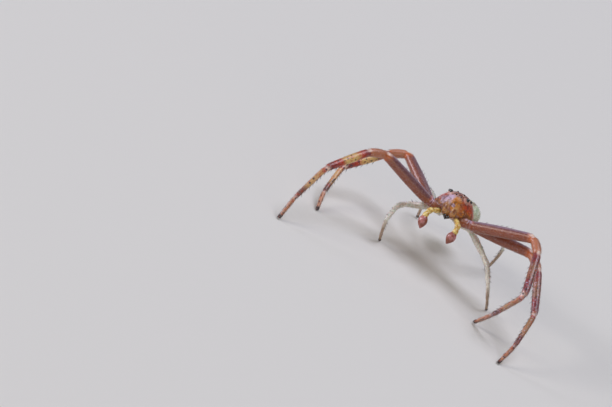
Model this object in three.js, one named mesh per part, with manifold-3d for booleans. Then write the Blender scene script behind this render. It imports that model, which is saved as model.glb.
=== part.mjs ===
import * as THREE from "three";
import { mergeVertices } from "three/addons/utils/BufferGeometryUtils.js";
import Module from "manifold-3d";

// An adult male flower crab spider at life size, standing on a floor at z = 0.
// Millimetres, +Z up. The spider faces -Y and its left side is towards +X.

const wasm = await Module();
wasm.setup();
const { Vector3 } = THREE;

// What meeting parts keep between their faces, and the finer gap under an eye.
const GAP = 0.1;
const EYE_GAP = 0.03;

// How finely forms are divided: sides round them, and steps along the moulded ones.
const BODY_GRID = [32, 20];
const GRID = [28, 18];
const PLATE_GRID = [20, 12];
const EYE_SIDES = 12;
const FACE_SIDES = 12;
const BULB_SIDES = 16;
const SMALL_SIDES = 8;
const LEG_SIDES = 10;
const SPINE_SIDES = 5;
const FACE_STEP = 0.1;
const LEG_STEP = 0.3;

// The part's origin, under the middle of its outline, in the spider's own frame.
const ORIGIN = new Vector3(0.67, -1.88, 0);

// The body's stance: its height, nose-up pitch and a slight roll that lifts the left side.
const BODY_HEIGHT = 2.82;
const BODY_PITCH = THREE.MathUtils.degToRad(18);
const BODY_ROLL = THREE.MathUtils.degToRad(7);

// The carapace is a superellipsoid, narrower towards the eyes and towards its top.
const CARAPACE = {
  halfWidth: 1.04,
  halfLength: 1.0,
  top: 0.84,
  bottom: 0.08,
  profilePower: 0.7,
  planPower: 0.95,
  headNarrowing: 0.2,
  taper: 0.4,
};

// The abdomen is an egg with its wide end behind and a flatter back.
const ABDOMEN = {
  centre: new Vector3(0, 2.22, 0.05),
  halfWidth: 0.82,
  halfLength: 1.14,
  top: 0.62,
  bottom: 0.68,
  rearSwell: 0.14,
};

// Each eye: its seat as a direction on the carapace, its tubercle's radius and its own.
const EYES = [
  { name: "ALE", seat: [0.56, -0.46, 0.69], tubercle: 0.15, radius: 0.095 },
  { name: "PLE", seat: [0.68, -0.24, 0.67], tubercle: 0.13, radius: 0.075 },
  { name: "AME", seat: [0.17, -0.66, 0.73], tubercle: 0.08, radius: 0.055 },
  { name: "PME", seat: [0.2, -0.34, 0.91], tubercle: 0.075, radius: 0.05 },
];

// How deep an eye's tubercle is sunk and how far out its lens sits, as shares of the tubercle.
const TUBERCLE_SINK = 0.25;
const LENS_RISE = 0.85;

// The plate under the body: its middle and half its width, length and depth.
const STERNUM = { centre: new Vector3(0, 0.08, -0.34), half: new Vector3(0.4, 0.62, 0.14) };

// The stalk between carapace and abdomen.
const PEDICEL = { at: new Vector3(0, 0.98, -0.1), length: 0.5, radius: 0.14 };

// Four spinnerets in two rows at the abdomen's end.
const SPINNERET = {
  at: new Vector3(0, 3.38, -0.2),
  length: 0.34,
  root: 0.1,
  tip: 0.05,
  apart: 0.18,
  rise: 0.14,
};

// A chelicera's centre line on the left side, its radii from root to tip, and its fang.
const CHELICERA = {
  line: [
    [0.235, -0.72, 0.16],
    [0.22, -0.9, -0.2],
    [0.17, -0.86, -0.52],
  ],
  radii: [0.17, 0.175, 0.1],
  rounding: 0.25,
};
const FANG = { radius: 0.045, length: 0.18, turn: -2.1, at: [0.13, -0.87, -0.52] };

// Palps: a short arm from beside the mouth, then the swollen bulb of a male.
const PALP = {
  line: [
    [0.42, -0.66, -0.36],
    [0.76, -1.12, -0.5],
    [0.82, -1.32, -0.86],
  ],
  radii: [0.11, 0.135, 0.125],
  rounding: 0.2,
};
const BULB = { from: [0.82, -1.35, -0.95], to: [0.72, -1.36, -1.52], radius: 0.235 };

// A bulb's outline from root to tip: radius as a share of its widest, and place along it.
const BULB_OUTLINE = [
  [0, 0],
  [0.55, 0.02],
  [0.92, 0.18],
  [1, 0.4],
  [0.82, 0.62],
  [0.5, 0.8],
  [0.22, 0.94],
  [0, 1],
];

// Lengths of a leg's pieces, and its radii at coxa, hip, thigh, knee, shin, ankle, toe and tip.
// The second legs are a little shorter than the first, and the two hind pairs short and slim.
const FRONT_LEG = {
  femur: 3.3,
  patella: 1.0,
  tibia: 2.7,
  metatarsus: 2.05,
  tarsus: 1.25,
  radii: [0.16, 0.19, 0.275, 0.235, 0.215, 0.185, 0.15, 0.075],
};
const SECOND_LEG_SCALE = 0.96;
const HIND_LEG = {
  femur: 1.5,
  patella: 0.52,
  tibia: 1.2,
  metatarsus: 0.88,
  tarsus: 0.6,
  radii: [0.13, 0.16, 0.18, 0.17, 0.165, 0.15, 0.125, 0.075],
};

// Where along the femur a leg is thickest, how round its corners are, and how its centre line
// starts inside the body: sideways, and as a share of the hip's place along the body.
const THIGH_AT = 0.35;
const LEG_ROUNDING = 0.4;
const COXA = { side: 0.58, along: 0.8, drop: 0.06 };

// How far the shin bends from the patella, and the tarsus from the metatarsus.
const SHIN_BEND = THREE.MathUtils.degToRad(22);
const TOE_BEND = THREE.MathUtils.degToRad(12);

// Hips in the body's frame: side, back and height.
const HIPS = {
  1: [1.12, -0.46, -0.26],
  2: [1.2, 0.0, -0.26],
  3: [1.1, 0.42, -0.46],
  4: [0.9, 0.8, -0.4],
};

// Each leg's pose: the femur's heading (degrees from sideways towards the front) and rise,
// where its foot stands (out to its side, and along Y), and how far the shin's arch swings over.
const POSES = {
  R1: { heading: 30, rise: 21, foot: [5.29, -7.24], swing: -18 },
  L1: { heading: 3, rise: 27, foot: [4.26, -2.88], swing: -34 },
  R2: { heading: -37, rise: 9, foot: [4.74, -3.63], swing: -87 },
  L2: { heading: 3, rise: 14, foot: [6.66, -5.0], swing: -61 },
  R3: { heading: 50, rise: -10, foot: [1.8, -1.9], swing: -13 },
  L3: { heading: 22, rise: -18, foot: [4.04, -0.7], swing: 48 },
  R4: { heading: -64, rise: -10, foot: [1.9, 3.2], swing: 10 },
  L4: { heading: -62, rise: -4, foot: [2.2, 3.3], swing: 10 },
};

// How deep a spine is rooted, as a share of the limb's radius, and how far rows stray from straight.
const SPINE_ROOT = 0.55;
const SPINE_SCATTER = 8;

// Rows of spines on each piece of a front leg and of a hind leg: their span as shares of the
// stretch from joint to joint, their count, place round the limb from its back, and size.
const FRONT_SPINES = {
  femur: [{ span: [0.16, 0.5], count: 3, round: 12, lean: 40, size: 0.2 }],
  tibia: [
    { span: [0.34, 0.9], count: 4, round: 150, lean: 46, size: 0.24 },
    { span: [0.38, 0.94], count: 4, round: 205, lean: 46, size: 0.24 },
    { span: [0.45, 0.75], count: 2, round: 80, lean: 44, size: 0.2 },
  ],
  foot: [
    { span: [0.08, 0.52], count: 4, round: 150, lean: 48, size: 0.22 },
    { span: [0.12, 0.56], count: 4, round: 205, lean: 48, size: 0.22 },
  ],
};
const HIND_SPINES = {
  femur: [{ span: [0.5, 0.5], count: 1, round: 0, lean: 35, size: 0.2 }],
  tibia: [{ span: [0.4, 0.8], count: 2, round: 10, lean: 40, size: 0.2 }],
  foot: [{ span: [0.2, 0.45], count: 2, round: 160, lean: 45, size: 0.18 }],
};
const SPINE_THICKNESS = 0.045;

// A leg's centre line runs on to this height, and the floor trims its sole flat.
const FOOT_END = -0.08;
const FLOOR_SIZE = [40, 40, 4];

const COLOURS = {
  carapace: 0xb9682e,
  underside: 0xc98a4b,
  abdomen: 0xd9dcc0,
  frontLeg: 0xa4583c,
  hindLeg: 0xcfd0b2,
  palp: 0xd8b23c,
  bulb: 0xb0625c,
  eye: 0x120d0c,
};

function skin(colour) {
  return new THREE.MeshStandardMaterial({ color: colour, roughness: 0.45, metalness: 0 });
}

// Joins and cuts

function solidOf(geometry) {
  const bare = geometry.clone();
  bare.deleteAttribute("normal");
  bare.deleteAttribute("uv");
  const merged = mergeVertices(bare, 1e-5);
  return new wasm.Manifold(
    new wasm.Mesh({
      numProp: 3,
      vertProperties: new Float32Array(merged.attributes.position.array),
      triVerts: new Uint32Array(merged.index.array),
    }),
  );
}

function geometryOf(solid) {
  const bodies = solid.decompose();
  const largest = bodies.reduce((a, b) => (a.volume() > b.volume() ? a : b));
  const { numProp, vertProperties, triVerts } = largest.getMesh();
  const positions = new Float32Array((vertProperties.length / numProp) * 3);
  for (let i = 0; i < positions.length / 3; i++)
    positions.set(vertProperties.subarray(i * numProp, i * numProp + 3), i * 3);
  return new THREE.BufferGeometry()
    .setAttribute("position", new THREE.BufferAttribute(positions, 3))
    .setIndex(new THREE.BufferAttribute(triVerts, 1));
}

function piece(name, shape, colour) {
  const geometry = shape.isBufferGeometry ? geometryOf(solidOf(shape)) : geometryOf(shape);
  geometry.computeVertexNormals();
  const mesh = new THREE.Mesh(geometry, skin(colour));
  mesh.name = name;
  return mesh;
}

// Forms

function ball(centre, radius, sides) {
  const geometry = new THREE.SphereGeometry(radius, sides, Math.round(sides * 0.7));
  return solidOf(geometry).translate(...centre.toArray());
}

// The point at [side, back, height] in the body's frame, mirrored for the right side.
function onSide(side, [x, y, z]) {
  return new Vector3(side * x, y, z);
}

// A sphere whose points are moved by shape(direction).
function moulded(shape, around, along) {
  const geometry = new THREE.SphereGeometry(1, around, along).rotateX(Math.PI / 2);
  const positions = geometry.attributes.position;
  const point = new Vector3();
  for (let i = 0; i < positions.count; i++)
    positions.setXYZ(i, ...shape(point.fromBufferAttribute(positions, i).normalize()).toArray());
  return geometry;
}

// A curve's own axes at a share of its length: along it, across the bend and up out of it.
function frameAt(curve, share) {
  const along = curve.getTangentAt(share);
  const across = curve.side.clone().addScaledVector(along, -curve.side.dot(along)).normalize();
  return { at: curve.getPointAt(share), along, across, up: new Vector3().crossVectors(across, along) };
}

// A cylinder bent along a curve between two lengths of it, with its radius given along the way.
function limb(curve, from, to, radiusAt, sides, step) {
  const length = curve.getLength();
  const steps = Math.max(2, Math.round((to - from) / step));
  const geometry = new THREE.CylinderGeometry(1, 1, 1, sides, steps);
  const positions = geometry.attributes.position;
  const rings = [];
  for (let i = 0; i <= steps; i++) {
    const s = from + ((to - from) * i) / steps;
    rings.push({ ...frameAt(curve, s / length), radius: radiusAt(s) });
  }
  for (let i = 0; i < positions.count; i++) {
    const ring = rings[Math.round((positions.getY(i) + 0.5) * steps)];
    const at = ring.at
      .clone()
      .addScaledVector(ring.across, positions.getX(i) * ring.radius)
      .addScaledVector(ring.up, positions.getZ(i) * ring.radius);
    positions.setXYZ(i, at.x, at.y, at.z);
  }
  return geometry;
}

// Straight lengths with rounded corners; marks holds each corner's place along the curve.
function jointedCurve(points, rounding) {
  const curve = new THREE.CurvePath();
  curve.marks = [];
  let start = points[0];
  let run = 0;
  for (let i = 1; i < points.length - 1; i++) {
    const corner = points[i];
    const before = Math.min(rounding, 0.45 * corner.distanceTo(points[i - 1]));
    const after = Math.min(rounding, 0.45 * corner.distanceTo(points[i + 1]));
    const enter = corner.clone().lerp(points[i - 1], before / corner.distanceTo(points[i - 1]));
    const leave = corner.clone().lerp(points[i + 1], after / corner.distanceTo(points[i + 1]));
    const bend = new THREE.QuadraticBezierCurve3(enter, corner, leave);
    curve.add(new THREE.LineCurve3(start, enter));
    curve.add(bend);
    run += start.distanceTo(enter);
    curve.marks.push(run + bend.getLength() / 2);
    run += bend.getLength();
    start = leave;
  }
  curve.add(new THREE.LineCurve3(start, points.at(-1)));
  curve.arcLengthDivisions = 400;
  return curve;
}

function between(first, second, a, b) {
  return first.clone().multiplyScalar(a).addScaledVector(second, b);
}

// Tapered spines, set in rows on a stretch of a limb: each row has its span of it, its place
// round the limb in degrees from its back, and how far its spines lean towards the tip.
function spines(curve, radiusAt, from, to, rows) {
  const length = curve.getLength();
  const found = [];
  for (const { span, count, round, lean, size } of rows)
    for (let i = 0; i < count; i++) {
      const share = THREE.MathUtils.lerp(...span, count > 1 ? i / (count - 1) : 0);
      const s = THREE.MathUtils.lerp(from, to, share);
      const frame = frameAt(curve, s / length);
      const turn = THREE.MathUtils.degToRad(round + SPINE_SCATTER * Math.sin(7 * i + round));
      const outward = between(frame.up, frame.across, -Math.cos(turn), Math.sin(turn));
      const tilt = THREE.MathUtils.degToRad(lean);
      const aim = between(outward, frame.along, Math.cos(tilt), Math.sin(tilt));
      const root = frame.at.clone().addScaledVector(outward, radiusAt(s) * SPINE_ROOT);
      const reach = size + radiusAt(s) * (1 - SPINE_ROOT);
      const cone = new THREE.ConeGeometry(SPINE_THICKNESS, reach, SPINE_SIDES).translate(0, reach / 2, 0);
      cone.applyQuaternion(new THREE.Quaternion().setFromUnitVectors(new Vector3(0, 1, 0), aim));
      found.push(solidOf(cone.translate(...root.toArray())));
    }
  return found;
}

// A smooth value through [place, value] stops.
function through(stops) {
  return (s) => {
    let i = 1;
    while (i < stops.length - 1 && s > stops[i][0]) i++;
    const [s0, v0] = stops[i - 1];
    const [s1, v1] = stops[i];
    return THREE.MathUtils.lerp(v0, v1, THREE.MathUtils.smoothstep(s, s0, s1));
  };
}

function power(value, exponent) {
  return Math.sign(value) * Math.abs(value) ** exponent;
}

// Body

function carapaceSurface(direction, grow = 0) {
  const { halfWidth, halfLength, profilePower, planPower, headNarrowing, taper } = CARAPACE;
  const turn = Math.atan2(direction.y, direction.x);
  const rim = power(Math.hypot(direction.x, direction.y), profilePower);
  const rise = power(direction.z, profilePower);
  const depth = direction.z > 0 ? CARAPACE.top : CARAPACE.bottom;
  const y = rim * power(Math.sin(turn), planPower);
  const forward = 1 - headNarrowing * THREE.MathUtils.smoothstep(-y, 0.1, 1);
  const upward = 1 - taper * Math.max(0, rise);
  return new Vector3(
    rim * power(Math.cos(turn), planPower) * (halfWidth * forward * upward + grow),
    y * (halfLength + grow),
    rise * (depth + grow),
  );
}

function abdomenSurface(direction) {
  const { centre, halfWidth, halfLength, top, bottom, rearSwell } = ABDOMEN;
  const swell = 1 + rearSwell * direction.y;
  return new Vector3(
    centre.x + direction.x * halfWidth * swell,
    centre.y + direction.y * halfLength,
    centre.z + direction.z * (direction.z > 0 ? top : bottom) * swell,
  );
}

function grownCarapace(grow) {
  return solidOf(moulded((direction) => carapaceSurface(direction, grow), ...BODY_GRID));
}

function eyeSeat(eye, side) {
  const out = onSide(side, eye.seat).normalize();
  const at = carapaceSurface(out).addScaledVector(out, -TUBERCLE_SINK * eye.tubercle);
  return { at, out };
}

function carapace() {
  let shell = solidOf(moulded((direction) => carapaceSurface(direction), ...GRID));
  for (const eye of EYES)
    for (const side of [-1, 1]) shell = shell.add(ball(eyeSeat(eye, side).at, eye.tubercle, EYE_SIDES));
  return piece("carapace", shell, COLOURS.carapace);
}

function eyePieces() {
  return EYES.flatMap((eye) =>
    [-1, 1].map((side) => {
      const { at, out } = eyeSeat(eye, side);
      const centre = at.clone().addScaledVector(out, eye.tubercle * LENS_RISE);
      const seat = ball(at, eye.tubercle + EYE_GAP, EYE_SIDES + 2);
      const lens = ball(centre, eye.radius, EYE_SIDES).subtract(seat);
      return piece(`eye_${eye.name}_${side < 0 ? "R" : "L"}`, lens, COLOURS.eye);
    }),
  );
}

function sternum() {
  const plate = moulded((d) => d.clone().multiply(STERNUM.half).add(STERNUM.centre), ...PLATE_GRID);
  return piece("sternum", plate, COLOURS.underside);
}

function grownAbdomen(grow) {
  return solidOf(moulded((d) => abdomenSurface(d).addScaledVector(d, grow), ...GRID));
}

function pedicel() {
  const { at, length, radius } = PEDICEL;
  const rod = new THREE.CylinderGeometry(radius, radius, length, FACE_SIDES);
  const stalk = solidOf(rod).translate(...at.toArray());
  const trimmed = stalk.subtract(grownCarapace(GAP)).subtract(grownAbdomen(GAP));
  return piece("pedicel", trimmed, COLOURS.underside);
}

function abdomen() {
  return piece("abdomen", moulded(abdomenSurface, ...BODY_GRID), COLOURS.abdomen);
}

function spinnerets() {
  const { at, length, root, tip, apart, rise } = SPINNERET;
  const cones = [];
  for (const side of [-1, 1])
    for (const level of [0, 1]) {
      const cone = new THREE.CylinderGeometry(tip, root, length, SMALL_SIDES);
      cones.push(solidOf(cone).translate(at.x + (side * apart) / 2, at.y, at.z + level * rise));
    }
  const cluster = cones.reduce((joined, cone) => joined.add(cone));
  return piece("spinnerets", cluster.subtract(grownAbdomen(GAP)), COLOURS.underside);
}

// A round limb of the face along a line of points, its radius given at its root, middle and tip.
function faceLimb({ line, radii, rounding }, side, across) {
  const curve = jointedCurve(line.map((point) => onSide(side, point)), rounding);
  curve.side = across;
  const length = curve.getLength();
  const radius = through(radii.map((value, i) => [(length * i) / 2, value]));
  return solidOf(limb(curve, 0, length, radius, FACE_SIDES, FACE_STEP));
}

// A chelicera hangs under the face and ends in a small fang that turns inwards.
function chelicera(side) {
  const base = faceLimb(CHELICERA, side, new Vector3(1, 0, 0));
  const cone = new THREE.ConeGeometry(FANG.radius, FANG.length, SMALL_SIDES).rotateZ(side * FANG.turn);
  const fang = solidOf(cone).translate(...onSide(side, FANG.at).toArray());
  const solid = base.add(fang).subtract(grownCarapace(GAP));
  return piece(side < 0 ? "chelicera_R" : "chelicera_L", solid, COLOURS.carapace);
}

function palpArm(side) {
  const [root, elbow, wrist] = PALP.line.map((point) => onSide(side, point));
  const across = elbow.clone().sub(root).cross(wrist.clone().sub(elbow)).normalize();
  const arm = faceLimb(PALP, side, across);
  return piece(side < 0 ? "palp_R" : "palp_L", arm, COLOURS.palp);
}

function palpBulb(side) {
  const from = onSide(side, BULB.from);
  const aim = onSide(side, BULB.to).sub(from);
  const outline = BULB_OUTLINE.map(([r, t]) => new THREE.Vector2(r * BULB.radius, t * aim.length()));
  const turn = new THREE.Quaternion().setFromUnitVectors(new Vector3(0, 1, 0), aim.clone().normalize());
  const lathe = new THREE.LatheGeometry(outline, BULB_SIDES);
  const bulb = lathe.applyQuaternion(turn).translate(...from.toArray());
  return piece(side < 0 ? "palp_bulb_R" : "palp_bulb_L", bulb, COLOURS.bulb);
}

// Legs

function heading(side, azimuth, rise) {
  const a = THREE.MathUtils.degToRad(azimuth);
  const b = THREE.MathUtils.degToRad(rise);
  return new Vector3(side * Math.cos(a) * Math.cos(b), -Math.sin(a) * Math.cos(b), Math.sin(b));
}

// The length from end to end of two pieces that meet at a bend.
function span(first, second, bend) {
  return Math.sqrt(first ** 2 + second ** 2 + 2 * first * second * Math.cos(bend));
}

// The corner of a triangle on the line from a to b, with sides first and second, on the side of lean.
function corner(a, b, first, second, lean) {
  const along = b.clone().sub(a).normalize();
  const across = lean.clone().addScaledVector(along, -lean.dot(along)).normalize();
  const reach = Math.min(a.distanceTo(b), (first + second) * 0.999);
  const x = (first ** 2 - second ** 2 + reach ** 2) / (2 * reach);
  const height = Math.sqrt(Math.max(0, first ** 2 - x ** 2));
  return a.clone().addScaledVector(along, x).addScaledVector(across, height);
}

// The leg's joints, from hip to tip, worked out from its pose.
function legJoints(hip, side, leg, pose) {
  const out = heading(side, pose.heading, pose.rise);
  const knee = hip.clone().addScaledVector(out, leg.femur);
  const tip = new Vector3(side * pose.foot[0], pose.foot[1], FOOT_END);
  const along = tip.clone().sub(knee).normalize();
  const upright = new Vector3(0, 0, 1).addScaledVector(along, -along.z).normalize();
  const swing = THREE.MathUtils.degToRad(pose.swing);
  const sideways = new Vector3().crossVectors(along, upright).multiplyScalar(side);
  const arch = upright.multiplyScalar(Math.cos(swing)).addScaledVector(sideways, Math.sin(swing));
  const shank = span(leg.patella, leg.tibia, SHIN_BEND);
  const foot = span(leg.metatarsus, leg.tarsus, TOE_BEND);
  const ankle = corner(knee, tip, shank, foot, arch);
  const shin = corner(knee, ankle, leg.patella, leg.tibia, out);
  const toe = corner(ankle, tip, leg.metatarsus, leg.tarsus, ankle.clone().sub(knee));
  return [hip, knee, shin, ankle, toe, tip];
}

function scaled(leg, scale) {
  const { femur, patella, tibia, metatarsus, tarsus, radii } = leg;
  return {
    femur: femur * scale,
    patella: patella * scale,
    tibia: tibia * scale,
    metatarsus: metatarsus * scale,
    tarsus: tarsus * scale,
    radii,
  };
}

const BUILDS = { 1: FRONT_LEG, 2: scaled(FRONT_LEG, SECOND_LEG_SCALE), 3: HIND_LEG, 4: HIND_LEG };

const FLOOR = solidOf(new THREE.BoxGeometry(...FLOOR_SIZE).translate(0, 0, -FLOOR_SIZE[2] / 2));

function leg(code, body) {
  const side = code[0] === "R" ? -1 : 1;
  const build = BUILDS[code[1]];
  const [, hipY, hipZ] = HIPS[code[1]];
  const hip = body.localToWorld(onSide(side, HIPS[code[1]]));
  const coxa = body.localToWorld(onSide(side, [COXA.side, hipY * COXA.along, hipZ - COXA.drop]));
  const joints = legJoints(hip, side, build, POSES[code]);
  const curve = jointedCurve([coxa, ...joints], LEG_ROUNDING);
  const reach = joints.at(-1).clone().sub(joints[1]);
  curve.side = joints[1].clone().sub(hip).cross(reach).normalize();
  const [hipAt, kneeAt, shinAt, ankleAt, toeAt] = curve.marks;
  const length = curve.getLength();
  const rows = code[1] < 3 ? FRONT_SPINES : HIND_SPINES;
  const thighAt = hipAt + build.femur * THIGH_AT;
  const places = [0, hipAt, thighAt, kneeAt, shinAt, ankleAt, toeAt, length];
  const radiusAt = through(places.map((at, i) => [at, build.radii[i]]));
  const cuts = [0, kneeAt, ankleAt, length];
  const colour = code[1] < 3 ? COLOURS.frontLeg : COLOURS.hindLeg;
  return ["femur", "tibia", "foot"].map((name, i) => {
    const from = cuts[i] + (i > 0 ? GAP / 2 : 0);
    const to = cuts[i + 1] - (i < 2 ? GAP / 2 : 0);
    let solid = solidOf(limb(curve, from, to, radiusAt, LEG_SIDES, LEG_STEP));
    const start = name === "femur" ? hipAt : from;
    for (const spine of spines(curve, radiusAt, start, to, rows[name])) solid = solid.add(spine);
    if (name === "foot") solid = solid.subtract(FLOOR);
    return piece(`leg_${code}_${name}`, solid, colour);
  });
}

// The spider

const body = new THREE.Group();
body.position.set(0, 0, BODY_HEIGHT);
body.rotation.set(-BODY_PITCH, -BODY_ROLL, 0);
body.updateMatrixWorld(true);

const legs = Object.keys(POSES).flatMap((code) => leg(code, body));

body.add(carapace(), sternum(), pedicel(), abdomen(), spinnerets(), ...eyePieces());
for (const side of [-1, 1]) body.add(chelicera(side), palpArm(side), palpBulb(side));

const group = new THREE.Group();
group.add(body, ...legs);
group.position.copy(ORIGIN).negate();

export default group;
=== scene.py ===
import math

import bpy
import numpy as np
from mathutils import Matrix, Vector, kdtree


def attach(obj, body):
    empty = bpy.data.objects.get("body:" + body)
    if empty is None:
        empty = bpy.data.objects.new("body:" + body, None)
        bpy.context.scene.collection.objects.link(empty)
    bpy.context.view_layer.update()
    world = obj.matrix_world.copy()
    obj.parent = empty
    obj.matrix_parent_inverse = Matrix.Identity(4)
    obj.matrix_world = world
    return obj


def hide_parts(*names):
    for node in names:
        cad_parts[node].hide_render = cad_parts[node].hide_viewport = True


# An adult male crab spider, life size. Shapes are worked out in millimetres in the spider's
# own frame (it faces -Y, its left is +X, the floor is z = 0) and placed in metres.

MM = 0.001
# The row's origin, under the middle of the part's outline, in the spider's own frame
ORIGIN = np.array([0.67, -1.88, 0.0])
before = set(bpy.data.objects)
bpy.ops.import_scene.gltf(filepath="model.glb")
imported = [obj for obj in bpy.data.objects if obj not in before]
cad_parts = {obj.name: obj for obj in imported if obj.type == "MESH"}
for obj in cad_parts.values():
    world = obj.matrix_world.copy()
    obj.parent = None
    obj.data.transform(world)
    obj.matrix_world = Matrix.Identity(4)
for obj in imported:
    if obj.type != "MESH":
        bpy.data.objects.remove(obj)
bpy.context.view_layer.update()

# The body's stance
BODY_HEIGHT = 2.82
BODY_PITCH = math.radians(18)
BODY_ROLL = math.radians(7)

# Carapace: a superellipsoid, narrower towards the eyes and towards its top
HALF_WIDTH = 1.03
HALF_LENGTH = 0.98
TOP = 0.83
BOTTOM = 0.22
PROFILE_POWER = 0.7
PLAN_POWER = 0.95
HEAD_NARROWING = 0.2
TAPER = 0.4

# Abdomen
ABDOMEN_CENTRE = np.array([0, 2.22, 0.05])
ABDOMEN_HALF = np.array([0.81, 1.13, 0.61])
ABDOMEN_BELLY = 0.67
REAR_SWELL = 0.14

# Eyes: seat as a direction on the carapace, tubercle radius, eye radius
EYES = {
    "ALE": ([0.56, -0.46, 0.69], 0.15, 0.092),
    "PLE": ([0.68, -0.24, 0.67], 0.13, 0.072),
    "AME": ([0.17, -0.66, 0.73], 0.08, 0.05),
    "PME": ([0.2, -0.34, 0.91], 0.075, 0.045),
}

# As shares of the tubercle: how deep it sinks, how far out its lens sits, its size in the skin
# and how far the pale ring round it reaches
TUBERCLE_SINK = 0.25
LENS_RISE = 0.85
TUBERCLE_SIZE = 0.97
RING_REACH = 1.5

# Leg pieces' lengths
FRONT_LEG = {"femur": 3.3, "patella": 1.0, "tibia": 2.7, "metatarsus": 2.05, "tarsus": 1.25}
SECOND_LEG_SCALE = 0.96
SECOND_LEG = {name: length * SECOND_LEG_SCALE for name, length in FRONT_LEG.items()}
HIND_LEG = {"femur": 1.5, "patella": 0.52, "tibia": 1.2, "metatarsus": 0.88, "tarsus": 0.6}
BUILDS = {"1": FRONT_LEG, "2": SECOND_LEG, "3": HIND_LEG, "4": HIND_LEG}
SHIN_BEND = math.radians(22)
TOE_BEND = math.radians(12)
JOINT_ROUNDING = 0.4

# Where a leg starts inside the body: sideways, as a share of the hip's place along, and down
COXA_SIDE = 0.5
COXA_ALONG = 0.75
COXA_DROP = 0.06

HIPS = {
    "1": (1.12, -0.46, -0.26),
    "2": (1.2, 0.0, -0.26),
    "3": (1.1, 0.42, -0.46),
    "4": (0.9, 0.8, -0.4),
}

# Each leg's pose: femur heading and rise, where the foot stands, and the arch's swing
POSES = {
    "R1": (30, 21, (5.29, -7.24), -18),
    "L1": (3, 27, (4.26, -2.88), -34),
    "R2": (-37, 9, (4.74, -3.63), -87),
    "L2": (3, 14, (6.66, -5.0), -61),
    "R3": (50, -10, (1.8, -1.9), -13),
    "L3": (22, -18, (4.04, -0.7), 48),
    "R4": (-64, -10, (1.9, 3.2), 10),
    "L4": (-62, -4, (2.2, 3.3), 10),
}
FOOT_END = 0.06
LAST_JOINT = 6

# Radii along a leg as (joint number, radius). Joints: 0 coxa, 1 hip, 2 knee, 3 shin,
# 4 ankle, 5 toe, 6 tip. Each piece starts full and narrows to a ring at its joint.
FRONT_GIRTH = [
    (0, 0.2), (0.4, 0.24), (0.62, 0.23), (0.7, 0.19), (0.8, 0.225), (0.93, 0.22), (1.0, 0.185),
    (1.03, 0.24), (1.25, 0.27), (1.5, 0.275), (1.85, 0.245), (1.965, 0.225), (2.0, 0.18), (2.12, 0.2),
    (2.5, 0.215), (2.9, 0.205), (3.0, 0.165), (3.06, 0.19), (3.35, 0.205), (3.75, 0.185),
    (3.955, 0.17), (4.0, 0.12), (4.05, 0.132), (4.4, 0.126), (4.93, 0.108), (5.0, 0.082),
    (5.06, 0.1), (5.5, 0.096), (5.9, 0.076), (6, 0.055),
]
HIND_GIRTH = [
    (0, 0.12), (0.55, 0.13), (0.8, 0.11), (0.93, 0.13), (1.0, 0.12), (1.06, 0.15), (1.4, 0.165),
    (1.9, 0.14), (2.0, 0.115), (2.2, 0.135), (2.6, 0.14), (2.9, 0.13), (3.0, 0.105), (3.1, 0.122),
    (3.5, 0.122), (3.93, 0.1), (4.0, 0.078), (4.1, 0.09), (4.9, 0.075), (5.0, 0.06), (5.1, 0.072),
    (5.6, 0.068), (5.9, 0.055), (6, 0.045),
]

# Palps and chelicerae, in the body's frame
PALP = [(0.42, -0.66, -0.36), (0.76, -1.12, -0.5), (0.82, -1.32, -0.86), (0.82, -1.35, -1.0)]
PALP_GIRTH = [
    (0, 0.11), (0.2, 0.13), (0.33, 0.135), (0.4, 0.1), (0.5, 0.145), (0.62, 0.15), (0.7, 0.105),
    (0.8, 0.15), (0.88, 0.14), (1, 0.12),
]
BULB_FROM = np.array([0.82, -1.34, -0.88])
BULB_TO = np.array([0.72, -1.36, -1.53])
BULB_GIRTH = [
    (0, 0.08), (0.06, 0.14), (0.16, 0.19), (0.3, 0.225), (0.45, 0.232), (0.6, 0.205), (0.74, 0.15),
    (0.86, 0.09), (0.94, 0.05), (1, 0.02),
]
CHELICERA = [(0.2, -0.7, 0.25), (0.2, -0.85, -0.1), (0.14, -0.87, -0.44)]
CHELICERA_GIRTH = [(0, 0.2), (0.4, 0.2), (0.72, 0.16), (1, 0.1)]
CHELICERA_ROUNDING = 0.25
PALP_ROUNDING = 0.2

# The underside, in the body's frame: a flat plate, and lathes as start, end and radii
PLATE_CENTRE = [0, 0.08, -0.32]
PLATE_HALF = [0.4, 0.62, 0.16]
WAIST = ([0, 0.75, -0.1], [0, 1.35, -0.08], [(0, 0.14), (0.5, 0.12), (1, 0.15)])
BELLY = ([0, 0.1, -0.05], [0, 0.1, -0.4], [(0, 0.72), (0.5, 0.6), (1, 0.4)])
LIP = ([0, -0.5, -0.3], [0, -0.84, -0.42], [(0, 0.2), (0.6, 0.17), (0.85, 0.13), (1, 0.06)])

# Four spinnerets in two rows at the abdomen's end
SPINNERET_SIDE = 0.09
SPINNERET_Y = 3.24
SPINNERET_Z = -0.2
SPINNERET_ROWS = (0, 0.14)
SPINNERET_LENGTH = 0.3
SPINNERET_GIRTH = [(0, 0.09), (0.7, 0.06), (1, 0.03)]

# The camera: the photo's frame and the scale and place of the face in it
PHOTO_SIZE = (612, 407)
PIXELS_PER_MM = 21.4
FACE_PIXEL = (450.8, 208.4)
FACE_FORWARD = 0.9
CAMERA_AZIMUTH = math.radians(12)
CAMERA_ELEVATION = math.radians(22)
CAMERA_ROLL = math.radians(33)
CAMERA_DISTANCE = 350.0
SENSOR = 36.0
CLIP = (0.01, 5.0)

FLOOR_HALF = 0.6
FLOOR_COLOUR = (0.78, 0.77, 0.73)

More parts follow.
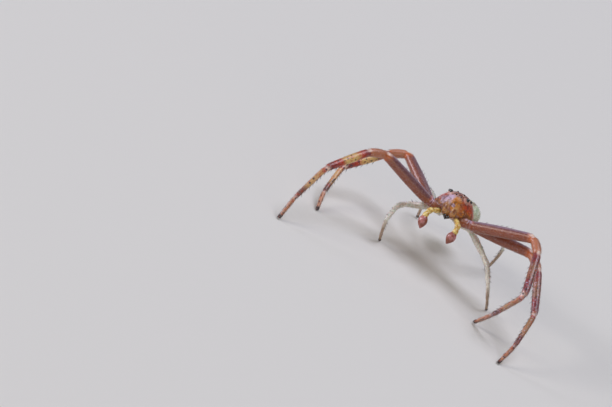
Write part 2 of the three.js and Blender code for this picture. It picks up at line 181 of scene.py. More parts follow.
# Lights, all aimed at one point: name, place from it in metres, size, power and colour
LIT_POINT = [0, -1, 2.5]
LIGHTS = [
    ("key", (-0.3, -0.25, 0.2), 0.16, 0.5, (1.0, 0.96, 0.9)),
    ("side", (-0.42, -0.12, 0.05), 0.16, 0.95, (0.88, 0.85, 1.0)),
    ("sky", (0.02, 0.1, 0.42), 0.25, 0.9, (0.86, 0.87, 1.0)),
    ("fill", (0.3, -0.3, 0.12), 0.3, 0.35, (1.0, 0.88, 0.7)),
]
WORLD_COLOUR = (0.9, 0.92, 1.0, 1)
WORLD_STRENGTH = 0.22

# How finely the skin is remeshed and how much it is smoothed
VOXEL = 0.03
SMOOTH_FACTOR = 0.5
SMOOTH_ROUNDS = 4
BODY_GRID = (72, 40)
LENS_GRID = (40, 24)

# A path's rounded corner: its steps, and the share of each length that it may take
CORNER_STEPS = 16
CORNER_SHARE = 0.45
# The step that a surface's slope is measured over
SLOPE_STEP = 0.02

SEED = 41

# A hair at half its length: its share of the bend, and of the girth at the root
MIDDLE_BEND = 0.2
MIDDLE_GIRTH = 0.7
# Added to the bend, so that a hair whose bend runs along it has a section too
SKEW = np.array([0.13, 0.29, 0.17])

# The bake map has a small patch for each hair. The hairs of a leg share a strip of the lower
# half, and those of the carapace and of the abdomen have a strip each above.
PATCH = 0.003
MARGIN = 0.02
LEG_STRIP = 1 / 16
LEG_STRIP_MARGIN = 0.1
BODY_STRIP_AT = 0.55
BODY_STRIP = 0.2
BODY_STRIP_FILL = 0.18
FANG_PATCH = (0.5, 0.97)

# Where on a leg's radius its hairs are rooted, and how near the floor any hair may come
ROOTED_AT = 0.93
LOWEST_HAIR = 0.004

# Rows of spines: joint numbers from and to, count, place round the leg in degrees, lean, length
FRONT_SPINES = [
    (1.2, 1.6, 6, 10, 50, 0.18),
    (3.3, 3.92, 6, 150, 56, 0.19),
    (3.35, 3.95, 6, 208, 56, 0.19),
    (3.45, 3.8, 3, 82, 54, 0.16),
    (3.4, 3.8, 3, 278, 54, 0.16),
    (4.1, 4.85, 7, 150, 56, 0.17),
    (4.14, 4.88, 7, 208, 56, 0.17),
]
HIND_SPINES = [
    (1.5, 1.7, 2, 0, 45, 0.16),
    (3.3, 3.8, 3, 12, 45, 0.18),
    (4.2, 4.7, 3, 165, 48, 0.15),
]
SPINE_SIZES = (0.85, 1.15)
SPINE_BEND = 0.12
SPINE_RADIUS = 0.013
PLACE_SCATTER = 7
LEAN_SCATTER = 5

# Hairs on the legs, and round their tips: counts, and stretches given by joint number
FRONT_HAIRS = 1500
HIND_HAIRS = 450
HIND_HAIR_SCALE = 0.8
LEG_HAIR_STRETCH = (1.02, 5.95)
LEG_HAIR_LEAN = (38, 66)
LEG_HAIR_LENGTH = (0.05, 0.11)
LEG_HAIR_RADIUS = 0.0045
LEG_HAIR_BEND = 0.2
LEG_DARK_SHARE = 0.45
TIP_HAIRS = 90
TIP_HAIR_STRETCH = (5.8, 5.98)
TIP_HAIR_LENGTH = (0.04, 0.07)
TIP_HAIR_RADIUS = 0.006
TIP_HAIR_BEND = 0.1

# Hairs on the carapace, where they keep to its upper part, and on the abdomen
CARAPACE_HAIRS = 260
ABDOMEN_HAIRS = 700
CARAPACE_HAIRS_ABOVE = 0.15
FACE_HAIRS_BEFORE = -0.3
BODY_HAIR_LENGTH = (0.06, 0.14)
BODY_HAIR_RADIUS = 0.006
BODY_HAIR_DEPTH = 0.01
BODY_HAIR_LIE = 0.8
BODY_HAIR_BEND = 0.2
LIE_SCATTER = 0.12
BODY_DARK_SHARE = 0.6

# Claws: joint number, turn to each side of the sole, length and radius
CLAW_STAGE = 5.93
CLAW_TURN = 0.9
CLAW_LENGTH = 0.07
CLAW_RADIUS = 0.014

# Fangs, on the left side: place from the chelicera's tip, aim, bend, length and radius
FANG_OFFSET = [-0.03, -0.07, 0.05]
FANG_AIM = [-0.45, -0.3, -0.6]
FANG_BEND = [0, 0.3, -0.2]
FANG_LENGTH = 0.22
FANG_RADIUS = 0.09


# Geometry helpers


def unit(v):
    return v / np.linalg.norm(v)


def body_axes():
    """The body's own X, Y and Z axes in the spider's frame."""
    sp, cp = math.sin(BODY_PITCH), math.cos(BODY_PITCH)
    sr, cr = math.sin(BODY_ROLL), math.cos(BODY_ROLL)
    level_x = np.array([1.0, 0.0, 0.0])
    back = np.array([0.0, cp, -sp])
    level_z = np.array([0.0, sp, cp])
    return np.array([level_x * cr + level_z * sr, back, level_z * cr - level_x * sr])


BODY_AXES = body_axes()
BODY_CENTRE = np.array([0.0, 0.0, BODY_HEIGHT])


def from_body(points):
    return BODY_CENTRE + np.asarray(points, float) @ BODY_AXES


def to_body(points):
    return (np.asarray(points, float) - BODY_CENTRE) @ BODY_AXES.T


def power(value, exponent):
    return np.sign(value) * np.abs(value) ** exponent


def smoothstep(value, low, high):
    t = np.clip((value - low) / (high - low), 0, 1)
    return t * t * (3 - 2 * t)


def carapace_surface(directions):
    d = np.atleast_2d(directions)
    level = np.hypot(d[:, 0], d[:, 1])
    turn = np.arctan2(d[:, 1], d[:, 0])
    rim = power(level, PROFILE_POWER)
    y = rim * power(np.sin(turn), PLAN_POWER)
    rise = power(d[:, 2], PROFILE_POWER)
    narrowing = (1 - HEAD_NARROWING * smoothstep(-y, 0.1, 1)) * (1 - TAPER * np.clip(rise, 0, 1))
    x = rim * power(np.cos(turn), PLAN_POWER) * HALF_WIDTH * narrowing
    return np.column_stack([x, y * HALF_LENGTH, rise * np.where(rise > 0, TOP, BOTTOM)])


def abdomen_surface(directions):
    d = np.atleast_2d(directions)
    swell = 1 + REAR_SWELL * d[:, 1]
    depth = np.where(d[:, 2] > 0, ABDOMEN_HALF[2], ABDOMEN_BELLY)
    x = d[:, 0] * ABDOMEN_HALF[0] * swell
    z = d[:, 2] * depth * swell
    return ABDOMEN_CENTRE + np.column_stack([x, d[:, 1] * ABDOMEN_HALF[1], z])


class Path:
    """Straight lengths with rounded corners, measured along, with a steady side axis."""

    def __init__(self, points, rounding, side=None):
        points = [np.asarray(p, float) for p in points]
        track = [points[0]]
        corners = []
        for i in range(1, len(points) - 1):
            corner = points[i]
            before = min(rounding, CORNER_SHARE * np.linalg.norm(points[i - 1] - corner))
            after = min(rounding, CORNER_SHARE * np.linalg.norm(points[i + 1] - corner))
            enter = corner + before * unit(points[i - 1] - corner)
            leave = corner + after * unit(points[i + 1] - corner)
            bend = [
                (1 - t) ** 2 * enter + 2 * t * (1 - t) * corner + t**2 * leave
                for t in np.linspace(0, 1, CORNER_STEPS + 1)
            ]
            corners.append(len(track) + CORNER_STEPS // 2)
            track += bend
        track.append(points[-1])
        self.points = np.array(track)
        steps = np.linalg.norm(np.diff(self.points, axis=0), axis=1)
        self.run = np.concatenate([[0], np.cumsum(steps)])
        self.length = self.run[-1]
        self.marks = np.array([0] + [self.run[c] for c in corners] + [self.length])
        self.side = side

    def at(self, s):
        return np.column_stack([np.interp(s, self.run, self.points[:, k]) for k in range(3)])

    def frames(self, s, reach=0.04):
        """The axes at each s: along the path, across its bend and up out of it."""
        ahead = self.at(np.clip(s + reach, 0, self.length))
        along = ahead - self.at(np.clip(s - reach, 0, self.length))
        along /= np.linalg.norm(along, axis=1)[:, None]
        across = self.side - along * (along @ self.side)[:, None]
        across /= np.linalg.norm(across, axis=1)[:, None]
        return along, across, np.cross(across, along)

    def stage(self, s):
        """Where s lies between the joints: 1.5 is half way from joint 1 to joint 2."""
        return np.interp(s, self.marks, np.arange(len(self.marks)))

    def place(self, stage):
        """How far along the path a stage lies."""
        return np.interp(stage, np.arange(len(self.marks)), self.marks)


class Source:
    """Closed pieces gathered for one skin, with what each point is a part of."""

    def __init__(self):
        self.points, self.faces, self.part, self.stage, self.dorsal = [], [], [], [], []
        self.count = 0

    def add(self, points, faces, part, stage=0.0, dorsal=0.0):
        self.faces += [[v + self.count for v in face] for face in faces]
        self.points.append(points)
        ones = np.ones(len(points))
        self.part.append(ones * part)
        self.stage.append(ones * stage)
        self.dorsal.append(ones * dorsal)
        self.count += len(points)

    def arrays(self):
        stacked = (self.part, self.stage, self.dorsal)
        return np.vstack(self.points), [np.concatenate(a) for a in stacked]


def rings(rows, sides):
    """Faces of a stack of rings closed by a fan at each end."""
    faces = []
    for i in range(rows - 1):
        for j in range(sides):
            a, b = i * sides + j, i * sides + (j + 1) % sides
            faces.append([a, b, b + sides, a + sides])
    faces.append(list(range(sides))[::-1])
    faces.append(list(range((rows - 1) * sides, rows * sides)))
    return faces


def tube(path, radius_of, start, end, step=0.04, sides=28, round_end=False):
    """Points, faces, run and turn of a round limb along a path."""
    s = np.arange(start, end + step / 2, step)
    radius = radius_of(s)
    if round_end:
        left = np.clip((end - s) / radius[-1], 0.02, 1)
        radius = radius * np.sqrt(1 - (1 - left) ** 2)
    _, across, up = path.frames(s)
    centre = path.at(s)
    turn = np.linspace(0, 2 * math.pi, sides, endpoint=False)
    ring = across[:, None] * np.sin(turn)[None, :, None] - up[:, None] * np.cos(turn)[None, :, None]
    points = (centre[:, None] + ring * radius[:, None, None]).reshape(-1, 3)
    return points, rings(len(s), sides), np.repeat(s, sides), np.tile(np.cos(turn), len(s))


def sphere_grid(around, along):
    """Directions and faces of a sphere with its poles along Y."""
    theta = np.linspace(0.0, math.pi, along + 2)[1:-1]
    phi = np.linspace(0, 2 * math.pi, around, endpoint=False)
    t, p = (grid.ravel() for grid in np.meshgrid(theta, phi, indexing="ij"))
    directions = np.column_stack([np.cos(p) * np.sin(t), -np.cos(t), np.sin(p) * np.sin(t)])
    return directions, [face[::-1] for face in rings(along, around)]


def profiled(path, profile):
    """A radius along a path from (share of the way, radius) stops."""
    stops = np.array(profile)
    return lambda s: np.interp(s / path.length, stops[:, 0], stops[:, 1])


def egg(at, towards, profile, sides=28):
    """A lathe of (share of the way, radius) stops from one point to another."""
    axis = towards - at
    path = Path([at, towards], 0.1, unit(np.cross(axis, [0.3, 0.5, 0.1])))
    return tube(path, profiled(path, profile), 0, path.length, 0.02, sides)


def mesh_object(name, points, faces):
    mesh = bpy.data.meshes.new(name)
    mesh.from_pydata([tuple(p) for p in points], [], [list(map(int, f)) for f in faces])
    mesh.update()
    mesh.polygons.foreach_set("use_smooth", [True] * len(mesh.polygons))
    made = bpy.data.objects.new(name, mesh)
    bpy.context.scene.collection.objects.link(made)
    return made


def place(points):
    """From the spider's frame in millimetres to the row's frame in metres."""
    return (np.asarray(points, float) - ORIGIN) * MM


# Legs


def heading(side, azimuth, rise):
    """A direction out to one side, turned towards the front and raised, in degrees."""
    a, b = math.radians(azimuth), math.radians(rise)
    return np.array([side * math.cos(a) * math.cos(b), -math.sin(a) * math.cos(b), math.sin(b)])


def span(first, second, bend):
    """The length from end to end of two pieces that meet at a bend."""
    return math.sqrt(first**2 + second**2 + 2 * first * second * math.cos(bend))


def corner(a, b, first, second, lean):
    """The corner of a triangle on a and b, with sides first and second, towards lean."""
    along = unit(b - a)
    across = unit(lean - along * (lean @ along))
    reach = min(np.linalg.norm(b - a), (first + second) * 0.999)
    x = (first**2 - second**2 + reach**2) / (2 * reach)
    return a + along * x + across * math.sqrt(max(0.0, first**2 - x**2))


def leg_path(code):
    """A leg's centre line through its joints, worked out from its pose."""
    side = -1 if code[0] == "R" else 1
    build = BUILDS[code[1]]
    azimuth, rise, foot, swing = POSES[code]
    hip_x, hip_y, hip_z = HIPS[code[1]]
    hip = from_body([side * hip_x, hip_y, hip_z])
    coxa = from_body([side * COXA_SIDE, hip_y * COXA_ALONG, hip_z - COXA_DROP])
    out = heading(side, azimuth, rise)
    knee = hip + out * build["femur"]
    tip = np.array([side * foot[0], foot[1], FOOT_END])
    along = unit(tip - knee)
    upright = unit(np.array([0, 0, 1.0]) - along * along[2])
    sideways = np.cross(along, upright) * side
    arch = upright * math.cos(math.radians(swing)) + sideways * math.sin(math.radians(swing))
    shank = span(build["patella"], build["tibia"], SHIN_BEND)
    foot_span = span(build["metatarsus"], build["tarsus"], TOE_BEND)
    ankle = corner(knee, tip, shank, foot_span, arch)
    shin = corner(knee, ankle, build["patella"], build["tibia"], out)
    toe = corner(ankle, tip, build["metatarsus"], build["tarsus"], ankle - knee)
    side_axis = unit(np.cross(knee - hip, tip - knee))
    return Path([coxa, hip, knee, shin, ankle, toe, tip], JOINT_ROUNDING, side_axis)


LEGS = {code: leg_path(code) for code in POSES}


def is_front(code):
    return code[1] in "12"


def girth(code):
    stops = np.array(FRONT_GIRTH if is_front(code) else HIND_GIRTH)
    path = LEGS[code]
    return lambda s: np.interp(path.stage(s), stops[:, 0], stops[:, 1])


# The skin: every soft or jointed part of the body in one closed surface

CARAPACE, UNDERSIDE, ABDOMEN, FRONT, HIND, PALP_PART, BULB, CHELICERA_PART = range(8)


def add_body(source):
    directions, faces = sphere_grid(*BODY_GRID)
    source.add(from_body(carapace_surface(directions)), faces, CARAPACE)
    source.add(from_body(abdomen_surface(directions)), faces, ABDOMEN)
    source.add(from_body(directions * PLATE_HALF + PLATE_CENTRE), faces, UNDERSIDE)
    for start, end, profile in (WAIST, BELLY, LIP):
        add_egg(source, from_body(start), from_body(end), profile, UNDERSIDE)
    for eye, (_, tubercle, _) in EYES.items():
        for side in (-1, 1):
            at, _ = eye_seat(eye, side)
            source.add(from_body(at + directions * (tubercle * TUBERCLE_SIZE)), faces, CARAPACE)
    for side in (-1, 1):
        for level in SPINNERET_ROWS:
            at = np.array([side * SPINNERET_SIDE, SPINNERET_Y, SPINNERET_Z + level])
            end = at + [0, SPINNERET_LENGTH, 0]
            add_egg(source, from_body(at), from_body(end), SPINNERET_GIRTH, UNDERSIDE)


def add_egg(source, start, end, profile, part):
    points, faces, _, _ = egg(start, end, profile)
    source.add(points, faces, part)


def eye_seat(eye, side):
    """Where an eye's tubercle is centred, in the body's frame, and which way it looks."""
    seat, tubercle, _ = EYES[eye]
    out = unit(np.array([seat[0] * side, seat[1], seat[2]]))
    return carapace_surface(out)[0] - out * TUBERCLE_SINK * tubercle, out


def add_face(source):
    for side in (-1, 1):
        mirror = [side, 1, 1]
        points = [from_body(point) for point in np.array(CHELICERA) * mirror]
        path = Path(points, CHELICERA_ROUNDING, BODY_AXES[0])
        thickness = profiled(path, CHELICERA_GIRTH)
        base, faces, _, _ = tube(path, thickness, 0, path.length, round_end=True)
        source.add(base, faces, CHELICERA_PART)
        points = [from_body(point) for point in np.array(PALP) * mirror]
        across = unit(np.cross(points[1] - points[0], points[2] - points[1]))
        path = Path(points, PALP_ROUNDING, across)
        arm, faces, s, _ = tube(path, profiled(path, PALP_GIRTH), 0, path.length)
        source.add(arm, faces, PALP_PART, stage=s / path.length)
        add_egg(source, from_body(BULB_FROM * mirror), from_body(BULB_TO * mirror), BULB_GIRTH, BULB)


def add_legs(source):
    for code, path in LEGS.items():
        points, faces, s, dorsal = tube(path, girth(code), 0, path.length, round_end=True)
        part = FRONT if is_front(code) else HIND
        source.add(points, faces, part, path.stage(s), dorsal)


def nearest(points, targets):
    """For each target, the number of the point that is closest to it."""
    tree = kdtree.KDTree(len(points))
    for i, p in enumerate(points):
        tree.insert(p, i)
    tree.balance()
    return np.array([tree.find(t)[1] for t in targets])


def fuse(skin):
    """The skin's closed pieces as one mesh with softened joins."""
    bpy.context.view_layer.objects.active = skin
    remesh = skin.modifiers.new("fuse", "REMESH")
    remesh.mode = "VOXEL"
    remesh.voxel_size = VOXEL
    smooth = skin.modifiers.new("smooth", "SMOOTH")
    smooth.factor = SMOOTH_FACTOR
    smooth.iterations = SMOOTH_ROUNDS
    graph = bpy.context.evaluated_depsgraph_get()
    fused = bpy.data.meshes.new_from_object(skin.evaluated_get(graph))
    skin.modifiers.clear()
    skin.data = fused
    fused.name = "skin"
    return fused


def assign_materials(mesh, part):
    """Each face takes the material of the part that its first corner belongs to."""
    first = np.empty(len(mesh.polygons), int)
    loops = np.empty(len(mesh.loops), int)
    mesh.polygons.foreach_get("loop_start", first)
    mesh.loops.foreach_get("vertex_index", loops)
    mesh.polygons.foreach_set("material_index", part[loops[first]].astype(int))


def make_skin():
    source = Source()
    add_body(source)
    add_face(source)
    add_legs(source)
    points, (part, stage, dorsal) = source.arrays()
    skin = mesh_object("skin", points, source.faces)
    fused = fuse(skin)
    co = np.empty(len(fused.vertices) * 3)
    fused.vertices.foreach_get("co", co)
    co = co.reshape(-1, 3)
    near = nearest(points, co)
    local = to_body(co)
    float_attribute(fused, "stage", stage[near])
    float_attribute(fused, "dorsal", dorsal[near])
    vector_attribute(fused, "local", local)
    float_attribute(fused, "ring", eye_rings(local))
    fused.vertices.foreach_set("co", place(co).astype(np.float32).ravel())
    fused.polygons.foreach_set("use_smooth", np.ones(len(fused.polygons), bool))
    assign_materials(fused, part[near])
    fused.update()
    return skin


def eye_rings(local):
    """How close each point is to the rim of an eye: 1 at the rim, 0 away from it."""
    value = np.zeros(len(local))
    for eye, (_, tubercle, _) in EYES.items():
        for side in (-1, 1):
            at, _ = eye_seat(eye, side)
            distance = np.linalg.norm(local - at, axis=1)
            value = np.maximum(value, 1 - smoothstep(distance, tubercle, tubercle * RING_REACH))
    return value


def float_attribute(mesh, name, values):
    layer = mesh.attributes.new(name, "FLOAT", "POINT")
    layer.data.foreach_set("value", np.asarray(values, np.float32))


def vector_attribute(mesh, name, values):
    layer = mesh.attributes.new(name, "FLOAT_VECTOR", "POINT")
    layer.data.foreach_set("vector", np.asarray(values, np.float32).ravel())


# Materials


class Shader:
    """A material's node tree, with short calls for the nodes it uses."""

    def __init__(self, name):
        self.material = bpy.data.materials.new(name)
        self.material.use_nodes = True
        self.nodes = self.material.node_tree.nodes
        self.links = self.material.node_tree.links
        self.surface = self.nodes["Principled BSDF"]

    def feed(self, socket, value):
        """Gives a socket another node's output, a colour or a number."""
        if isinstance(value, bpy.types.NodeSocket):
            self.links.new(value, socket)
        elif isinstance(value, tuple):
            socket.default_value = (*value, 1)
        else:
            socket.default_value = value

    def set(self, **sockets):
        for name, value in sockets.items():
            self.feed(self.surface.inputs[name.replace("_", " ")], value)

    def attribute(self, name, output="Fac"):
        node = self.nodes.new("ShaderNodeAttribute")
        node.attribute_name = name
        return node.outputs[output]

    def local(self, axis):
        """A place in the body's frame along one axis, in millimetres."""
        node = self.nodes.new("ShaderNodeSeparateXYZ")
        self.links.new(self.attribute("local", "Vector"), node.inputs[0])
        return node.outputs[axis]

    def ramp(self, value, stops):
        node = self.nodes.new("ShaderNodeValToRGB")
        self.links.new(value, node.inputs["Fac"])
        ramp = node.color_ramp
        while len(ramp.elements) > 1:
            ramp.elements.remove(ramp.elements[-1])
        for i, (at, colour) in enumerate(stops):
            stop = ramp.elements[0] if i == 0 else ramp.elements.new(at)
            stop.position = at
            stop.color = (*colour, 1)
        return node.outputs["Color"]

    def mask(self, value, low, high):
        """0 at low and 1 at high, whichever of them is the larger."""
        node = self.nodes.new("ShaderNodeMapRange")
        node.interpolation_type = "SMOOTHSTEP"
        self.links.new(value, node.inputs["Value"])
        node.inputs["From Min"].default_value = low
        node.inputs["From Max"].default_value = high
        return node.outputs["Result"]

    def maths(self, operation, *values):
        node = self.nodes.new("ShaderNodeMath")
        node.operation = operation
        for i, value in enumerate(values):
            self.feed(node.inputs[i], value)
        return node.outputs[0]

    def times(self, first, *others):
        for other in others:
            first = self.maths("MULTIPLY", first, other)
        return first

    def noise(self, scale, detail=3.0, roughness=0.5):
        node = self.nodes.new("ShaderNodeTexNoise")
        node.inputs["Scale"].default_value = scale
        node.inputs["Detail"].default_value = detail
        node.inputs["Roughness"].default_value = roughness
        self.links.new(self.attribute("local", "Vector"), node.inputs["Vector"])
        return node.outputs["Fac"]

    def wander(self, scale, detail, amount):
        """Noise about zero, for uneven edges."""
        return self.times(self.maths("SUBTRACT", self.noise(scale, detail), 0.5), amount)

    def wobble(self, name, scale, amount):
        """An attribute shifted a little by noise, so that bands end unevenly."""
        return self.maths("ADD", self.attribute(name), self.wander(scale, 3.0, amount))

    def spots(self, scale):
        node = self.nodes.new("ShaderNodeTexVoronoi")
        node.inputs["Scale"].default_value = scale
        self.links.new(self.attribute("local", "Vector"), node.inputs["Vector"])
        return node.outputs["Distance"]

    def near(self, centre, inner, outer, unevenness):
        """1 within inner of a place in the body's frame, and 0 past outer."""
        node = self.nodes.new("ShaderNodeVectorMath")
        node.operation = "DISTANCE"
        self.links.new(self.attribute("local", "Vector"), node.inputs[0])
        node.inputs[1].default_value = centre
        shift = self.wander(9.0, 4.0, unevenness)
        return self.mask(self.maths("ADD", node.outputs["Value"], shift), outer, inner)

    def mix(self, factor, first, second):
        node = self.nodes.new("ShaderNodeMix")
        node.data_type = "RGBA"
        # By number, as its sockets for numbers and for colours share their names
        for number, value in ((0, factor), (6, first), (7, second)):
            self.feed(node.inputs[number], value)
        return node.outputs[2]

    def tint(self, base, colour, strength, *masks):
        """The base turned towards a colour where all the masks are 1."""
        return self.mix(self.times(*masks, strength), base, colour)

    def bump(self, height, distance, strength):
        node = self.nodes.new("ShaderNodeBump")
        node.inputs["Distance"].default_value = distance
        node.inputs["Strength"].default_value = strength
        self.links.new(height, node.inputs["Height"])
        return node.outputs["Normal"]


def srgb(red, green, blue):
    """A colour given as 0-255 values, as the linear numbers that a shader takes."""
    return tuple(((c / 255 + 0.055) / 1.055) ** 2.4 for c in (red, green, blue))


PURPLE_BROWN = srgb(106, 60, 60)
ORANGE_BROWN = srgb(142, 68, 22)
KNEE_BROWN = srgb(182, 112, 74)
COXA_BROWN = srgb(148, 86, 54)
LILAC = srgb(212, 196, 226)
PALE_JOINT = srgb(232, 204, 188)
AMBER = srgb(184, 94, 36)
MAROON = srgb(118, 36, 28)
WINE = srgb(104, 30, 40)
RUST = srgb(184, 56, 12)
STRAW = srgb(222, 184, 108)
TAN = srgb(208, 164, 108)
UMBER = srgb(118, 76, 62)
UMBER_DARK = srgb(94, 46, 28)
DUSTY = srgb(176, 128, 104)
ROSE_TAN = srgb(192, 132, 94)
INK = srgb(34, 22, 26)
GOLD = srgb(200, 128, 26)
OCHRE = srgb(168, 82, 20)
LOW_CHEEK = srgb(104, 54, 30)
EYE_RING = srgb(214, 170, 156)
GLASSY = (srgb(204, 198, 182), srgb(234, 230, 218))
GLASSY_JOINT = srgb(232, 230, 220)
GLASSY_FOOT = srgb(150, 112, 74)
ABDOMEN_PALE = (srgb(196, 204, 168), srgb(228, 232, 208))
ABDOMEN_BAND = srgb(134, 84, 52)
ABDOMEN_SIDE = srgb(122, 88, 44)

# Marks on the face: centre in the body's frame, reach, strength and colour. A mark is full to
# half its reach, and its edge wanders.
FACE_MARKS = [
    ((0.55, -0.55, 0.46), 0.34, 0.7, RUST),
    ((0.09, -0.91, 0.46), 0.3, 0.6, GOLD),
    ((0.22, -0.95, -0.02), 0.26, 0.6, GOLD),
    ((-0.33, -0.86, -0.11), 0.26, 0.6, DUSTY),
    ((0.74, -0.55, -0.06), 0.22, 0.75, UMBER_DARK),
    ((0.62, -0.66, 0.17), 0.16, 0.5, UMBER_DARK),
    ((-0.11, -0.58, 0.75), 0.3, 0.65, MAROON),
    ((-0.16, -0.96, 0.16), 0.17, 0.6, UMBER_DARK),
    # The lilac marks are painted reflections of the sky: two patches on the right of the face and a
    # small painted highlight on the midline.
    ((-0.51, -0.76, 0.2), 0.3, 0.6, LILAC),
    ((-0.28, -0.81, 0.48), 0.28, 0.6, LILAC),
    ((0.05, -0.97, 0.18), 0.11, 0.8, LILAC),
]

# Colours along a front leg, by joint: 1 hip, 2 knee, 3 shin, 4 ankle, 5 toe, 6 tip
FRONT_BANDS = [
    (0.0, COXA_BROWN), (0.76, COXA_BROWN), (0.82, LILAC), (0.87, MAROON), (0.95, MAROON),
    (0.985, LILAC), (1.02, AMBER), (1.08, PURPLE_BROWN), (1.86, PURPLE_BROWN), (1.96, AMBER),
    (2.09, AMBER), (2.2, KNEE_BROWN), (2.9, KNEE_BROWN), (2.97, AMBER), (3.04, MAROON), (3.2, RUST),
    (3.34, STRAW), (3.6, STRAW), (3.68, RUST), (3.93, MAROON), (4.0, PALE_JOINT), (4.08, RUST),
    (4.14, TAN), (4.62, TAN), (4.74, UMBER), (4.96, UMBER), (5.03, PALE_JOINT), (5.1, ROSE_TAN),
    (5.8, ROSE_TAN), (5.93, INK),
]


def finish_cuticle(m, base, fine, roughness=0.34, scatter=0.1, coat=0.3):
    """A waxy shell with fine relief and a little light passing through."""
    m.set(Base_Color=base, Roughness=roughness, Subsurface_Weight=scatter, Subsurface_Scale=0.00012)
    m.set(Coat_Weight=coat, Coat_Roughness=0.3, Specular_IOR_Level=0.6)
    m.set(Normal=m.bump(fine, 0.00002, 0.7))


# Each function that takes a base colour gives it back with more marks over it


def femur_underside(m, base):
    """Orange-brown underneath, further up on the left legs."""
    higher = m.times(m.mask(m.local("X"), 0.5, 1.2), 0.5)
    belly = m.mask(m.maths("SUBTRACT", m.attribute("dorsal"), higher), 0.1, -0.6)
    return m.tint(base, ORANGE_BROWN, 0.85, belly, m.mask(m.attribute("stage"), 1.98, 1.9))


def joint_spots(m, base):
    """A pale spot on the back of the knee and of the shin's start."""
    for joint in (2.0, 3.0):
        apart = m.maths("ABSOLUTE", m.maths("SUBTRACT", m.attribute("stage"), joint))
        back = m.mask(m.attribute("dorsal"), 0.0, 0.5)
        base = m.tint(base, PALE_JOINT, 0.85, m.mask(apart, 0.1, 0.03), back)
    return base


def left_leg_reds(m, base, left):
    """The left shins are redder, and the feet below them a little."""
    stage = m.attribute("stage")
    base = m.tint(base, WINE, 0.8, m.mask(stage, 4.0, 3.8), m.mask(stage, 3.05, 3.15), left)
    return m.tint(base, WINE, 0.45, m.mask(stage, 4.02, 4.1), m.mask(stage, 5.6, 4.8), left)


def femur_back(m, base):
    """A thin dark line with a painted lilac sheen beside it, and pale grain that is thickest near the
    hip.
    """
    stage = m.attribute("stage")
    thigh = m.mask(stage, 1.98, 1.9)
    # Painted lilac sheen of the sky along the femur's upper side
    base = m.tint(base, LILAC, 0.24, m.mask(m.wobble("dorsal", 6.0, 0.5), 0.3, 0.7), thigh)
    base = m.tint(base, INK, 0.7, m.mask(m.wobble("dorsal", 9.0, 0.06), 0.965, 0.99), thigh)
    return m.tint(base, PALE_JOINT, 0.35, m.mask(m.spots(11.0), 0.3, 0.1), m.mask(stage, 1.9, 1.1))


def outer_flecks(m, base, left):
    """Orange and ink flecks past the shin, and pale ones on the left legs."""
    outer = m.mask(m.attribute("stage"), 3.02, 3.3)
    base = m.tint(base, RUST, 0.6, m.mask(m.noise(8.0, 2.0), 0.54, 0.66), outer)
    base = m.tint(base, LILAC, 0.55, m.mask(m.spots(8.0), 0.3, 0.2), outer, left)
    return m.tint(base, INK, 0.85, m.mask(m.spots(4.6), 0.32, 0.2), outer)


def front_leg_material():
    m = Shader("front_leg_cuticle")
    bands = [(at / LAST_JOINT, colour) for at, colour in FRONT_BANDS]
    base = m.ramp(m.maths("DIVIDE", m.wobble("stage", 7.0, 0.16), LAST_JOINT), bands)
    left = m.mask(m.local("X"), 1.5, 2.5)
    base = femur_underside(m, base)
    base = joint_spots(m, base)
    base = left_leg_reds(m, base, left)
    # Past the shin the back is darker than the sides
    back = m.mask(m.attribute("dorsal"), 0.35, 0.9)
    base = m.tint(base, UMBER, 0.35, back, m.mask(m.attribute("stage"), 3.0, 3.15))
    base = femur_back(m, base)
    base = outer_flecks(m, base, left)
    fine = m.noise(15.0, 4.0)
    # A faint lilac speckle over the whole leg: painted sheen
    base = m.tint(base, LILAC, 0.16, m.mask(fine, 0.45, 0.75))
    finish_cuticle(m, base, fine)
    return m.material


def hind_leg_material():
    m = Shader("hind_leg_cuticle")
    fine = m.noise(12.0, 4.0)
    base = m.mix(m.mask(fine, 0.35, 0.7), *GLASSY)
    white, black = (1, 1, 1), (0, 0, 0)
    stops = [(0.0, white), (0.07, black), (0.9, black), (1.0, white)]
    joints = m.ramp(m.maths("FRACT", m.attribute("stage")), stops)
    base = m.mix(joints, base, GLASSY_JOINT)
    base = m.tint(base, GLASSY_FOOT, 0.8, m.mask(m.wobble("stage", 8.0, 0.3), 3.8, 4.8))
    shin = m.mask(m.attribute("stage"), 2.2, 3.0)
    base = m.tint(base, UMBER, 0.6, m.mask(m.spots(6.0), 0.2, 0.12), shin)
    finish_cuticle(m, base, fine, scatter=0.25)
    return m.material


# Noise scale, detail and amount
FACE_WANDER = (3.4, 3.0, 0.55)


def carapace_bands(m, base):
    """Red-brown down each side of the back and over the top of the face."""
    wander = m.wander(*FACE_WANDER)
    across = m.maths("ABSOLUTE", m.local("X"))
    height = m.maths("ADD", m.local("Z"), wander)
    flank = m.mask(m.maths("ADD", across, wander), 0.42, 0.66)
    base = m.tint(base, RUST, 0.8, flank, m.mask(height, 0.1, 0.3))
    broken = m.mask(m.noise(4.2, 3.0), 0.5, 0.58)
    base = m.tint(base, LOW_CHEEK, 0.6, m.mask(across, 0.5, 0.8), broken)
    return m.tint(base, MAROON, 0.85, m.mask(height, 0.55, 0.75), m.mask(m.local("Y"), 0.3, -0.1))


def painted_lilac_reflection(m, base):
    """A painted lilac reflection of the sky over the front, on the right side of the face only."""
    side = m.mask(m.maths("ADD", m.local("X"), m.wander(*FACE_WANDER)), 0.15, -0.2)
    broken = m.mask(m.noise(5.6, 4.0), 0.44, 0.58)
    return m.tint(base, LILAC, 0.45, broken, m.times(side, m.mask(m.local("Y"), -0.1, -0.5)))


def face_marks(m, base):
    for centre, reach, strength, colour in FACE_MARKS:
        mark = m.near(centre, reach * 0.5, reach, reach * 0.9)
        base = m.tint(base, colour, strength, mark)
    return base


